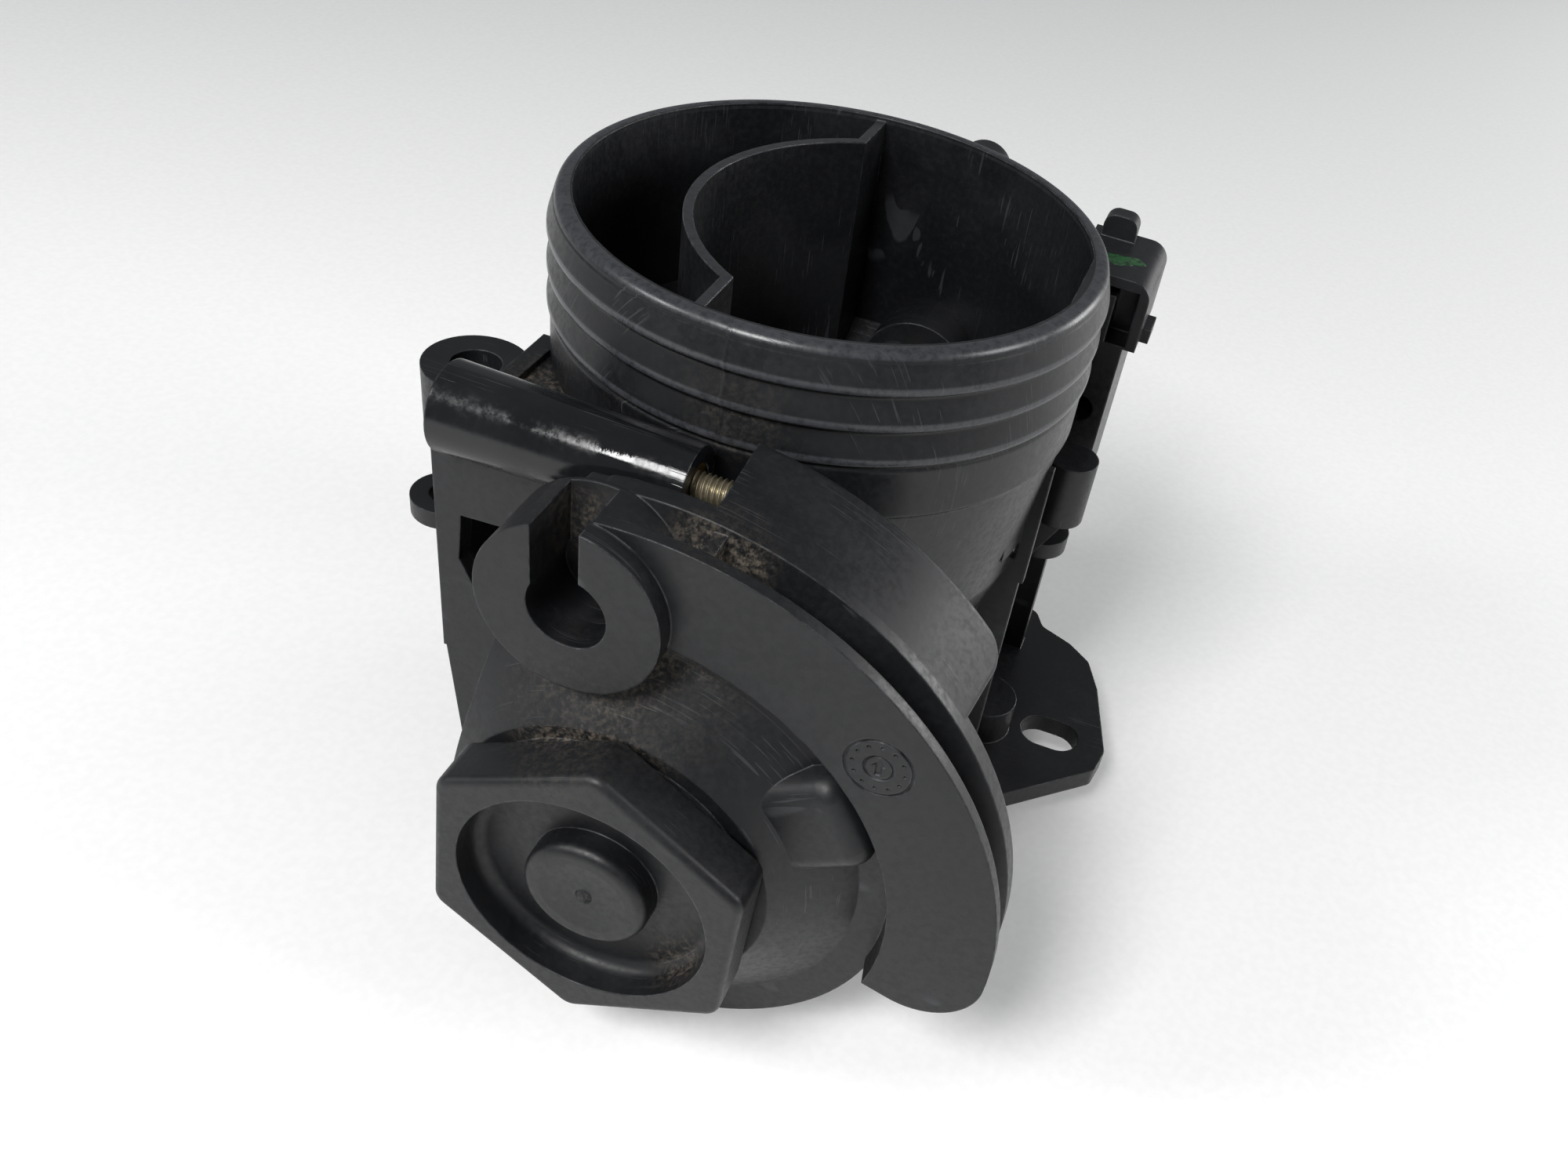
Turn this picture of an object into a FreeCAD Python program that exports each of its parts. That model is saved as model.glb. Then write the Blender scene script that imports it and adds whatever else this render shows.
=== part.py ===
import FreeCAD, Part
import math
import os
from FreeCAD import Vector

# Mechanical throttle body, moulded in glass-filled nylon, cable operated.
# Origin: centre of the bore in the mounting face of the base flange.
# +Z runs up the bore to the inlet, +Y along the shaft towards the sensor,
# +X to the slotted ear. The cable quadrant is on the -Y side. Units: mm.

# ---- overall sizes ----
body_height = 93.0          # mounting face to inlet rim
neck_radius = 37.2          # crest of the hose barbs
neck_bore_radius = 34.1
bore_radius = 26.2          # throttle bore
shaft_height = 29.3         # shaft axis above the mounting face
shaft_radius = 4.0
plate_thickness = 1.8
closed_angle = 6.0          # tilt of the closed butterfly, degrees
open_travel = 80.0          # opening travel, degrees

# ---- clearances and wall sizes ----
turn_gap = 0.35             # between a moving curved face and the body
running_fit = 0.03          # radial gap of a running fit
press_gap = 0.02            # radial gap drawn at a press fit
seat_gap = 0.05             # gap between faces that only touch

# ---- inlet neck ----
rim_radius = 36.3
rim_round = 1.3
barb_step = 1.0
barb_land = 0.7             # flat crest of a barb
barb_pitch = 4.9
barb_count = 3
barb_first = 5.1            # rim to first barb
band_end = 23.0             # rim to the step under the plain band
band_step = 0.6
band_radius = 36.7          # plain band that the hose clamp closes on
taper_radius = 33.6
taper_end = 45.0            # rim to the foot of the taper
barrel_radius = 31.0

# ---- inner wall and idle-air crescent ----
arc_centre_x = 11.0
arc_radius = 29.0
arc_wall = 1.35
arc_corner_x = -4.6
crescent_depth = 27.0
passage_depth = 33.0        # rim to the foot of the wide passage
wall_drop = 0.6             # top of the inner wall below the rim
hose_room = 39.4            # bore axis to the post behind the neck

# ---- base flange ----
flange_thickness = 3.5
ear_hole_x = 46.9
ear_hole_y = 14.4
left_hole_x = -44.6
left_hole_y = -7.6
bolt_hole_radius = 3.7
slot_length = 2.9           # extra length of the slotted hole
lug_x = -45.2               # vertical hole beside the stop-screw boss
lug_y = -15.2
lug_radius = 7.6
lug_hole_radius = 3.6
lug_top = 62.4
lug_low = 53.4
ear_radius = 4.8            # small ears for ties
ear_hole_radius = 2.3
gasket_radius = 28.6
gasket_width = 1.7
gasket_depth = 1.9
gasket_proud = 0.3

# ---- shaft bosses ----
boss_radius = 9.5
front_boss_end = 46.5       # from the bore axis
rear_boss_end = 37.5
bush_radius = 6.2
bush_length = 9.0
seal_radius = 7.4
seal_length = 2.6
shaft_front_end = 65.0
shaft_rear_end = 46.0

# ---- cable quadrant ----
hub_front = 70.5            # front face of the hexagon, from the bore axis
hex_flats = 40.1
hex_turn = 26.2             # angle of the first corner, degrees
hex_corner = 2.6
hex_edge = 1.1
hex_depth = 7.0
slit_radius = 19.6
slit_width = 1.2
recess_radius = 16.85
recess_depth = 4.6
button_radius = 8.4
button_drop = 0.8
button_round = 1.4
button_dish = 0.35
recess_round = 1.8
bell_small = 21.6
bell_large = 31.5
web_left = -22.9            # flat trimmed on the web beside the hub
web_radius = 36.3
web_front = 56.0
web_back = 53.0
spring_room = 19.2
rim_front = 59.8            # front face of the cable rim
rim_outer = 50.2
guard_outer = 49.7
groove_radius = 44.6
groove_front = 58.1
groove_back = 52.5
guard_back = 49.8
rim_start = -16.0           # lower end of the cable rim, degrees from +X
rim_end = 97.0
guard_end = 104.0
rim_wall_inner = 33.5
mark_radius = 42.5          # moulded date mark
mark_angle = 43.0
mark_depth = 0.25

# ---- cable nipple hook ----
hook_x = -6.3
hook_z = 38.6               # above the shaft
hook_radius = 11.4
hook_front = 62.5
nipple_radius = 4.9
cable_slot = 5.8
cable_slot_x = -7.7

# ---- stop lug and stop screw ----
stop_lug_inner = 40.0
lug_outer_front = 49.7
lug_outer_back = 51.6
lug_back = 37.6
lug_end = 39.0              # clockwise end of the lug, degrees
lug_round = 4.0
lug_crest = 1.0
stop_y = -42.3
stop_z = 74.7
stop_face_x = 5.6           # lug face at rest
screw_radius = 2.0
screw_pitch = 0.7
screw_length = 34.0
stop_boss_left = -32.2
stop_boss_right = 0.0
stop_boss_big = 5.8
stop_boss_small = 5.1
insert_radius = 3.0
insert_length = 11.0

# ---- bracket plate ----
bracket_y = -43.4
bracket_thickness = 2.8
bracket_left = -34.6

# ---- return spring ----
spring_wire = 1.5
spring_radius = 15.6
spring_turns = 5.0
spring_start = 46.5
spring_pitch = 2.3
spring_leg = 13.0
spring_peg_drop = 11.0      # peg on the bracket, below the shaft
spring_peg_radius = 1.6
sleeve_radius = 12.6

# ---- sensor module ----
module_front = 38.0
module_thickness = 9.0
module_wall = 2.0
module_radius = 17.0
column_left = 31.5
column_right = 39.4
connector_right = 41.2
column_front = 24.0
column_back = 42.0
column_low = 44.0
arm_top = 49.4
arm_low = 29.0
arm_right = 38.4
connector_low = 73.0
connector_top = 83.8
connector_left = 29.4
connector_back = 40.0
connector_wall = 1.6
terminal_z = 76.6
terminal_half = 0.35
cover_thickness = 1.8
module_screws = ((-21.0, 0.0), (19.4, -9.0))  # from the shaft axis, in X and Z
module_screw_radius = 2.0

# ---- air probe ----
probe_x = 8.6
probe_z = body_height - 34.5
probe_boss_radius = 8.6
probe_boss_end = 24.0
probe_radius = 4.4
probe_tip = 17.5

shaft_z = shaft_height


def box(x0, x1, y0, y1, z0, z1):
    return Part.makeBox(x1 - x0, y1 - y0, z1 - z0, Vector(x0, y0, z0))


def rod_z(x, y, radius, z0, z1):
    return Part.makeCylinder(radius, z1 - z0, Vector(x, y, z0), Vector(0, 0, 1))


def rod_y(x, z, radius, y0, y1):
    return Part.makeCylinder(radius, y1 - y0, Vector(x, y0, z), Vector(0, 1, 0))


def rod_x(y, z, radius, x0, x1):
    return Part.makeCylinder(radius, x1 - x0, Vector(x0, y, z), Vector(1, 0, 0))


def cone_x(y, z, r0, r1, x0, x1):
    return Part.makeCone(r0, r1, x1 - x0, Vector(x0, y, z), Vector(1, 0, 0))


def cone_z(x, y, r0, r1, z0, z1):
    return Part.makeCone(r0, r1, z1 - z0, Vector(x, y, z0), Vector(0, 0, 1))


def cone_y(x, z, r0, r1, y0, y1):
    return Part.makeCone(r0, r1, y1 - y0, Vector(x, y0, z), Vector(0, 1, 0))


def tube_y(x, z, outer, inner, y0, y1):
    return rod_y(x, z, outer, y0, y1).cut(rod_y(x, z, inner, y0 - 1, y1 + 1))


def prism_z(points, z0, z1):
    wire = Part.makePolygon([Vector(x, y, z0) for x, y in points + points[:1]])
    return Part.Face(wire).extrude(Vector(0, 0, z1 - z0))


def prism_y(points, y0, y1):
    wire = Part.makePolygon([Vector(x, y0, z) for x, z in points + points[:1]])
    return Part.Face(wire).extrude(Vector(0, y1 - y0, 0))


def turned_z(profile):
    wire = Part.makePolygon([Vector(r, 0, z) for r, z in profile + profile[:1]])
    return Part.Face(wire).revolve(Vector(0, 0, 0), Vector(0, 0, 1), 360)


def turned_y(profile, start=0.0, end=360.0):
    """Solid of (radius, y) points turned about the shaft axis from start to end degrees, counted from +X to +Z."""
    wire = Part.makePolygon([Vector(r, y, 0) for r, y in profile + profile[:1]])
    solid = Part.Face(wire).revolve(Vector(0, 0, 0), Vector(0, -1, 0), end - start)
    solid.rotate(Vector(0, 0, 0), Vector(0, -1, 0), start)
    solid.translate(Vector(0, 0, shaft_z))
    return solid


def union(shapes):
    solid = shapes[0]
    for shape in shapes[1:]:
        solid = solid.fuse(shape)
    return solid.removeSplitter()


def polar(radius, degrees):
    angle = math.radians(degrees)
    return radius * math.cos(angle), radius * math.sin(angle)


def rounded_sector(radius, start, end, round_start, round_end, y0, y1):
    """Sector about the shaft axis with both outer corners rounded, extruded from y0 to y1."""
    def point(r, degrees):
        x, z = polar(r, degrees)
        return Vector(x, y0, shaft_z + z)

    def corner(angle, fillet, side):
        swing = math.degrees(math.asin(fillet / (radius - fillet)))
        foot = (radius - fillet) * math.cos(math.radians(swing))
        centre = point(radius - fillet, angle + side * swing)
        inner = point(foot, angle)
        outer = point(radius, angle + side * swing)
        bisector = (inner - centre).normalize() + (outer - centre).normalize()
        return inner, centre + bisector.normalize() * fillet, outer

    a_in, a_mid, a_out = corner(start, round_start, 1)
    b_in, b_mid, b_out = corner(end, round_end, -1)
    apex = Vector(0, y0, shaft_z)
    edges = [
        Part.makeLine(apex, a_in),
        Part.Arc(a_in, a_mid, a_out).toShape(),
        Part.Arc(a_out, point(radius, (start + end) / 2), b_out).toShape(),
        Part.Arc(b_out, b_mid, b_in).toShape(),
        Part.makeLine(b_in, apex),
    ]
    return Part.Face(Part.Wire(edges)).extrude(Vector(0, y1 - y0, 0))


def neck():
    top = body_height
    rounding = 0.3 * rim_round
    profile = [
        (0, 0),
        (barrel_radius, 0),
        (barrel_radius, top - taper_end - 8),
        (taper_radius, top - taper_end),
        (band_radius - band_step, top - band_end),
        (band_radius, top - band_end),
        (band_radius, top - barb_first - (barb_count - 1) * barb_pitch - 0.8),
    ]
    for index in reversed(range(barb_count)):
        z = top - barb_first - index * barb_pitch
        profile += [(neck_radius - barb_step, z - 0.4), (neck_radius, z), (neck_radius, z + barb_land)]
    profile += [
        (rim_radius + 0.1, top - rim_round),
        (rim_radius - rounding, top - rounding),
        (rim_radius - rim_round, top),
        (0, top),
    ]
    return turned_z(profile)


def passage_outline(inset, z0, z1):
    """Wide upper passage: the neck bore right of the arc wall's corners, the arc on the left."""
    right = rod_z(0, 0, neck_bore_radius, z0, z1).common(box(arc_corner_x, 60, -60, 60, z0, z1))
    left = rod_z(arc_centre_x, 0, arc_radius - inset, z0, z1)
    left = left.common(box(-60, arc_corner_x + 0.1, -60, 60, z0, z1))
    return right.fuse(left)


def crescent(z0, z1):
    room = rod_z(0, 0, neck_bore_radius, z0, z1).common(box(-60, arc_corner_x - arc_wall, -60, 60, z0, z1))
    return room.cut(rod_z(arc_centre_x, 0, arc_radius + arc_wall, z0 - 1, z1 + 1))


def base_flange():
    hull = [
        (43.1, -3.4), (56.2, 9.0), (57.0, 14.2), (52.5, 29.7),
        (49.4, 36.4), (45.0, 39.8), (39.0, 42.2), (36.8, 46.2), (29.0, 46.2), (22.0, 36.0),
        (-10.0, 33.5), (-32.0, 21.0), (-45.0, 3.0), (-52.5, -4.0),
        (-52.5, -11.0), (-46.0, -19.0), (-34.0, -25.0), (-20.0, -34.5),
        (8.0, -34.5), (32.0, -22.0),
    ]
    plate = prism_z(hull, 0, flange_thickness)
    edges = [e for e in plate.Edges if abs(e.tangentAt(e.FirstParameter).z) > 0.99]
    return plate.makeFillet(2.2, edges)


def slot_cut(x, y, radius, length, z0, z1):
    half = length / 2
    cut = rod_z(x - half, y, radius, z0, z1).fuse(rod_z(x + half, y, radius, z0, z1))
    return cut.fuse(box(x - half, x + half, y - radius, y + radius, z0, z1))


def side_lug():
    lug = rod_z(lug_x, lug_y, lug_radius, lug_low, lug_top)
    web = box(lug_x, -20, lug_y - 3.5, lug_y + lug_radius - 0.5, lug_low, lug_top - 0.8)
    return [lug, web]


def bracket():
    back = bracket_y + bracket_thickness
    left = bracket_left
    outline = [
        (left + 2.6, 14.0), (left, 40.0), (left, 74.0), (-2.0, 74.0),
        (-2.0, 66.0), (-8.0, 56.0), (6.0, 44.0), (15.0, 30.0), (16.0, 17.0), (10.0, 12.0), (-10.0, 9.0),
    ]
    window = [(-30.9, 59.4), (-17.0, 60.2), (-17.0, 46.0), (-29.2, 47.4), (-31.5, 52.2)]
    plate = prism_y(outline, bracket_y, back)
    plate = plate.cut(prism_y(window, bracket_y - 1, back + 1))
    side = box(left, left + 2.6, bracket_y, lug_y, 36, 70.5)
    lower = box(left + 2.6, left + 5.2, bracket_y, -20, 3, 40)
    shelf = box(left, -8, stop_y, -20, lug_top - 1.6, lug_top + 1.2)
    corner = box(left, -20, -30, lug_y, lug_top - 1.6, 69.5)
    foot = box(-14, 8, bracket_y, -24, 12, 15)
    rib = box(-1.5, 1.5, bracket_y, -26, 36, 42)
    peg_x = spring_radius - spring_wire / 2 - spring_peg_radius - seat_gap
    peg_end = -spring_start - spring_wire / 2 - 0.1
    peg = rod_y(peg_x, shaft_z - spring_peg_drop, spring_peg_radius, peg_end, back)
    return [plate, side, lower, shelf, corner, foot, rib, peg]


def eyelet(x, y, z, root_x, thickness):
    """Flat round ear with a vertical hole, joined to the body at root_x."""
    ear = rod_z(x, y, ear_radius, z, z + thickness)
    ear = ear.fuse(box(min(x, root_x), max(x, root_x), y - 3.8, y + 3.8, z, z + thickness))
    return ear.cut(rod_z(x, y, ear_hole_radius, z - 1, z + thickness + 1))


def small_lugs():
    left = bracket_left
    eye = eyelet(left - 4.6, -33.5, 51.0, left + 2, 2.6)
    right_eye = eyelet(34.6, 30.4, 30.4, 18.0, 3.0)
    post = rod_z(37.6, 11.5, 4.0, 50.0, 60.5)
    post_web = prism_y([(28, 34), (31.5, 34), (39.5, 50.2), (39.5, 58.5), (28, 58.5)], 9.5, 13.5)
    rib = box(34.5, 36.6, -3.0, -1.4, 46, 66).fuse(box(28, 36, -3.0, -1.4, 0, 50))
    dowel = rod_z(34.6, 11.4, 5.4, 0, 10.0)
    rear_wall = box(24.0, 36.6, 33.6, 37.4, 0, 31.0)
    ear_web = box(16.0, 30.0, 16.0, 30.0, 30.4, 33.4)
    return [eye, right_eye, post, post_web, rib, dowel, rear_wall, ear_web]


def neck_room():
    """Space beside the neck that the quadrant's stop lug sweeps and the sensor's connector fills."""
    sweep = rod_y(0, shaft_z, lug_outer_back + turn_gap, -80, -lug_back + turn_gap)
    plug = box(connector_left - seat_gap, 80, column_front - seat_gap, 80, arm_low, body_height + 1)
    return sweep.fuse(plug)


def throttle_housing():
    top = body_height
    solids = [neck().cut(neck_room()), base_flange()]
    solids += side_lug()
    solids += bracket()
    solids += small_lugs()
    solids.append(rod_y(0, shaft_z, boss_radius, -front_boss_end, rear_boss_end))
    solids.append(cone_x(stop_y, stop_z, stop_boss_big, stop_boss_small, stop_boss_left, stop_boss_right))
    for x, z in module_screws:
        solids.append(rod_y(x, shaft_z + z, 4.6, 20, module_front - seat_gap))
        solids.append(box(x - 2, x + 2, 14, 34, 0, shaft_z + z))
    solids.append(box(-14, 14, 26, rear_boss_end - 4, shaft_z - 2, shaft_z + 2))
    solids.append(rod_y(probe_x, probe_z, probe_boss_radius, 28, 42))
    solids.append(box(probe_x - 3.0, probe_x + 5.4, hose_room, 42, probe_z, top - 6.6))
    solids.append(rod_y(probe_x + 1.2, top - 6.6, 4.2, hose_room, 42.8))
    body = union(solids)

    floor = top - passage_depth
    body = body.cut(rod_z(0, 0, bore_radius, -1, floor + 0.1))
    body = body.cut(passage_outline(0, floor, top + 1))
    funnel = cone_z(0, 0, bore_radius, neck_bore_radius - 0.2, floor - 4.5, floor + 0.05)
    body = body.cut(funnel.common(box(arc_corner_x, 60, -60, 60, 0, top)))
    body = body.cut(crescent(top - crescent_depth, top + 1))
    inner_top = rod_z(0, 0, neck_bore_radius, top - wall_drop, top + 1)
    body = body.cut(inner_top)
    pad = rod_z(0, 0, neck_bore_radius + 0.5, top - 40, top)
    pad = pad.common(box(33.3, 40, -9, 12, top - 40, top))
    body = body.fuse(pad)

    probe_boss = rod_y(probe_x, probe_z, probe_boss_radius, probe_boss_end, 35)
    probe_boss = probe_boss.cut(rod_z(0, 0, bore_radius, 0, floor))
    body = body.fuse(probe_boss)
    probe_hole = rod_y(probe_x, probe_z, probe_radius + press_gap, probe_tip - 1, 43)
    seal_seat = rod_y(probe_x, probe_z, probe_radius + 1.8, 38, 40.4)
    body = body.cut(probe_hole).cut(seal_seat)

    shaft_hole = rod_y(0, shaft_z, shaft_radius + 0.3, -50, 50)
    front_seat = rod_y(0, shaft_z, bush_radius + press_gap, -front_boss_end + seal_length, -front_boss_end + seal_length + bush_length)
    front_seal_seat = rod_y(0, shaft_z, seal_radius + press_gap, -front_boss_end - 1, -front_boss_end + seal_length)
    rear_seat = rod_y(0, shaft_z, bush_radius + press_gap, rear_boss_end - seal_length - bush_length + 1, rear_boss_end - seal_length)
    rear_seal_seat = rod_y(0, shaft_z, seal_radius + press_gap, rear_boss_end - seal_length, rear_boss_end + 1)
    for cutter in (shaft_hole, front_seat, front_seal_seat, rear_seat, rear_seal_seat):
        body = body.cut(cutter)

    body = body.cut(rod_z(lug_x, lug_y, lug_hole_radius, lug_low - 1, lug_top + 1))
    body = body.cut(slot_cut(ear_hole_x, ear_hole_y, bolt_hole_radius, slot_length, -1, flange_thickness + 1))
    body = body.cut(rod_z(left_hole_x, left_hole_y, bolt_hole_radius, -1, flange_thickness + 1))
    groove = rod_z(0, 0, gasket_radius + gasket_width, -1, gasket_depth)
    groove = groove.cut(rod_z(0, 0, gasket_radius, -2, gasket_depth + 1))
    body = body.cut(groove)

    screw_hole = rod_x(stop_y, stop_z, screw_radius + 0.3, stop_boss_left - 5, 10)
    insert_seat = rod_x(stop_y, stop_z, insert_radius + press_gap, stop_boss_right - insert_length, 0)
    body = body.cut(screw_hole).cut(insert_seat)
    for x, z in module_screws:
        body = body.cut(rod_y(x, shaft_z + z, 2.9 + press_gap, 28, module_front + 1))
    body = body.cut(rod_y(35.4, 61.5, 2.0, 20, 30))
    return body


def throttle_shaft():
    shaft = rod_y(0, shaft_z, shaft_radius, -shaft_front_end, shaft_rear_end)
    flat = box(-6, -shaft_radius + 1.4, rear_boss_end + 1, shaft_rear_end + 1, shaft_z - 6, shaft_z + 6)
    groove = tube_y(0, shaft_z, shaft_radius + 1, shaft_radius - 0.8, rear_boss_end + 0.6, rear_boss_end + 1.5)
    half = plate_thickness / 2 + seat_gap
    slot = box(-8, 8, -bore_radius, bore_radius, shaft_z - half, shaft_z + half)
    slot.rotate(Vector(0, 0, shaft_z), Vector(0, 1, 0), closed_angle)
    shaft = shaft.cut(flat).cut(groove).cut(slot)
    for y in (-10, 10):
        hole = rod_z(0, y, 1.6, shaft_z - 8, shaft_z + 8)
        hole.rotate(Vector(0, 0, shaft_z), Vector(0, 1, 0), closed_angle)
        shaft = shaft.cut(hole)
    return shaft


def throttle_plate():
    half = plate_thickness / 2
    disc = rod_z(0, 0, bore_radius - turn_gap, shaft_z - half, shaft_z + half)
    for y in (-10, 10):
        disc = disc.cut(rod_z(0, y, 1.6, 0, 60))
    disc.rotate(Vector(0, 0, shaft_z), Vector(0, 1, 0), closed_angle)
    return disc


def plate_screws():
    screws = []
    for y in (-10, 10):
        stem = rod_z(0, y, 1.5, shaft_z - shaft_radius - 1, shaft_z + shaft_radius + 0.2)
        head = cone_z(0, y, 1.6, 3.0, shaft_z + shaft_radius + 0.02, shaft_z + shaft_radius + 1.4)
        screw = stem.fuse(head)
        drive = box(-0.4, 0.4, y - 4, y + 4, shaft_z + shaft_radius + 0.6, shaft_z + 9)
        cross = box(-4, 4, y - 0.4, y + 0.4, shaft_z + shaft_radius + 0.6, shaft_z + 9)
        screw = screw.cut(drive).cut(cross).removeSplitter()
        screw.rotate(Vector(0, 0, shaft_z), Vector(0, 1, 0), closed_angle)
        screws.append(screw)
    return Part.makeCompound(screws)


def hex_hub():
    corners = []
    for index in range(6):
        x, z = polar(hex_flats / math.sqrt(3), hex_turn + 60 * index)
        corners.append((x, shaft_z + z))
    prism = prism_y(corners, -hub_front, -hub_front + hex_depth)
    prism = prism.makeFillet(hex_corner, [e for e in prism.Edges if abs(e.BoundBox.YLength - hex_depth) < 0.01])
    return prism.makeFillet(hex_edge, [e for e in prism.Edges if e.BoundBox.YMax < -hub_front + 0.01])


def cable_rim():
    profile = [
        (rim_wall_inner, -guard_back), (guard_outer, -guard_back), (guard_outer, -groove_back),
        (groove_radius, -groove_back - 1.4), (groove_radius, -groove_front + 1.2),
        (rim_outer, -groove_front), (rim_outer, -rim_front), (web_radius, -rim_front),
        (web_radius - 0.8, -web_front), (rim_wall_inner, -web_front),
    ]
    full = turned_y(profile, rim_start - 10, guard_end + 10)
    front = rounded_sector(rim_outer, rim_start, rim_end, 9, 2, -rim_front - 1, -groove_front + 1.2)
    back = rounded_sector(rim_outer, rim_start, guard_end, 9, 7, -groove_front + 1.2, -guard_back + 1)
    return full.common(front.fuse(back))


def stop_lug():
    profile = [
        (stop_lug_inner, -guard_back - 1), (lug_outer_front, -guard_back - 1),
        (lug_outer_back, -lug_back), (stop_lug_inner, -lug_back),
    ]
    lug = turned_y(profile, lug_end, 95)
    lug = lug.cut(box(-30, stop_face_x, -60, -30, shaft_z, shaft_z + 80))
    corner = [e for e in lug.Edges if abs(e.BoundBox.YMax + lug_back) < 0.01 and e.BoundBox.YLength < 0.01
              and e.BoundBox.ZMax < shaft_z + 34 and e.Length < 13]
    lug = lug.makeFillet(lug_round, corner)
    crest = [e for e in lug.Edges if abs(e.BoundBox.YMax + lug_back) < 0.01 and e.BoundBox.XMax > 30
             and e.BoundBox.ZMax > shaft_z + lug_outer_back - 2]
    return lug.makeFillet(lug_crest, crest)


def cable_quadrant():
    front = -hub_front
    bell_top = front + hex_depth + slit_width
    bell = cone_y(0, shaft_z, bell_small, bell_large, bell_top, -web_front)
    web = rod_y(0, shaft_z, web_radius, -web_front, -web_back)
    trim = prism_y([(web_left, 0), (web_left, shaft_z + 3), (-17.6, shaft_z + 32), (-17.6, 90), (-60, 90), (-60, -40),
                    (web_left, -40)], -66, -40)
    web = bell.fuse(web).cut(trim)
    guard = prism_y([(-3, shaft_z + 28), (-3, shaft_z + 49.2), (-9.6, shaft_z + 48.6), (-19.0, shaft_z + 37.5),
                     (-19.2, shaft_z + 32), (-16, shaft_z + 26)], -groove_back, -guard_back)
    core = rod_y(0, shaft_z, slit_radius, front + hex_depth - 0.5, bell_top + 0.5)
    hook = rod_y(hook_x, shaft_z + hook_z, hook_radius, -hook_front, -groove_back)
    rib_x, rib_z = polar(groove_radius + 2.2, 81)
    rib = box(rib_x - 0.8, rib_x + 0.8, -groove_front - 0.5, -groove_back + 0.5, shaft_z + rib_z - 5, shaft_z + rib_z + 2)
    block = Part.makeBox(14, 6.2, 14, Vector(21, -60.4, -7))
    block = block.makeFillet(3.0, [e for e in block.Edges if e.BoundBox.YMax < -60.3 or e.Length < 6.5])
    block.rotate(Vector(0, 0, 0), Vector(0, 1, 0), -31)
    block.translate(Vector(0, 0, shaft_z))
    solid = union([hex_hub(), core, web, guard, cable_rim(), hook, rib, block, stop_lug()])

    solid = solid.cut(rod_y(0, shaft_z, spring_room, -62.0, -web_back + 1))
    inner_core = rod_y(0, shaft_z, 9.0, -64.0, -front_boss_end - 1.3)
    solid = solid.fuse(inner_core)
    solid = solid.cut(rod_y(0, shaft_z, shaft_radius + press_gap, -shaft_front_end - 0.05, 0))
    solid = hub_recess(solid, front)
    solid = solid.cut(rod_y(hook_x, shaft_z + hook_z, nipple_radius, -hook_front - 1, -groove_back - 0.6))
    slot_top = shaft_z + rim_outer + 4
    slot = box(cable_slot_x - cable_slot / 2, cable_slot_x + cable_slot / 2, -hook_front - 1, -groove_back - 0.6,
               shaft_z + hook_z, slot_top)
    solid = solid.cut(slot)
    solid = solid.cut(date_mark()).cut(coil_recess())
    return solid.removeSplitter()


def hub_recess(solid, front):
    """Round recess in the hexagon's face with a rounded, slightly dished button in its middle."""
    floor = front + recess_depth
    recess = rod_y(0, shaft_z, recess_radius, front - 1, floor)
    recess = recess.makeFillet(recess_round, [e for e in recess.Edges if e.BoundBox.YMin > floor - 0.01])
    button_face = front + button_drop
    button = rod_y(0, shaft_z, button_radius, button_face, floor + 0.5)
    button = button.makeFillet(button_round, [e for e in button.Edges if e.BoundBox.YMax < button_face + 0.01])
    dish_radius = 50.0
    dish = Part.makeSphere(dish_radius, Vector(0, button_face + button_dish - dish_radius, shaft_z))
    gate = cone_y(0, shaft_z, 1.3, 0.5, button_face + button_dish - 0.1, button_face + button_dish + 0.5)
    return solid.cut(recess).fuse(button.cut(dish).cut(gate))


def coil_recess():
    """Radial notch in the inner core that takes the moving end of the return spring."""
    y = spring_end_y()
    return rod_x(y, shaft_z, spring_wire / 2 + 0.1, 7.6, 12)


def date_mark():
    """Shallow moulded clock ring with an arrow, no lettering."""
    x, z = polar(mark_radius, mark_angle)
    z += shaft_z
    front = -rim_front
    ring = tube_y(x, z, 4.3, 3.95, front - 0.1, front + mark_depth)
    inner = tube_y(x, z, 1.9, 1.6, front - 0.1, front + mark_depth)
    arrow = prism_y([(x - 0.35, z - 1.2), (x + 0.35, z - 1.2), (x + 0.35, z + 0.2), (x + 0.9, z + 0.2), (x, z + 1.3),
                     (x - 0.9, z + 0.2), (x - 0.35, z + 0.2)], front - 0.1, front + mark_depth)
    marks = [ring, inner, arrow]
    for index in range(12):
        dx, dz = polar(3.2, 30 * index)
        marks.append(rod_y(x + dx, z + dz, 0.22, front - 0.1, front + mark_depth))
    return marks[0].multiFuse(marks[1:])


def shaft_bush(y0):
    return tube_y(0, shaft_z, bush_radius, shaft_radius + running_fit, y0, y0 + bush_length - 1)


def shaft_seal(y0):
    return tube_y(0, shaft_z, seal_radius, shaft_radius + 0.05, y0, y0 + seal_length - 0.3)


def thrust_washer():
    back = -front_boss_end - seat_gap
    return tube_y(0, shaft_z, 8.0, shaft_radius + 0.05, back - 1.0, back)


def shaft_clip():
    clip = tube_y(0, shaft_z, 5.9, shaft_radius - 0.75, rear_boss_end + 0.65, rear_boss_end + 1.45)
    mouth = box(0, 8, rear_boss_end, rear_boss_end + 2, shaft_z - 2.6, shaft_z + 2.6)
    return clip.cut(mouth)


def spring_sleeve():
    back = bracket_y - seat_gap
    return tube_y(0, shaft_z, sleeve_radius, boss_radius + 0.35, back - 9, back)


def spring_end_y():
    return -(spring_start + spring_pitch * spring_turns)


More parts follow.
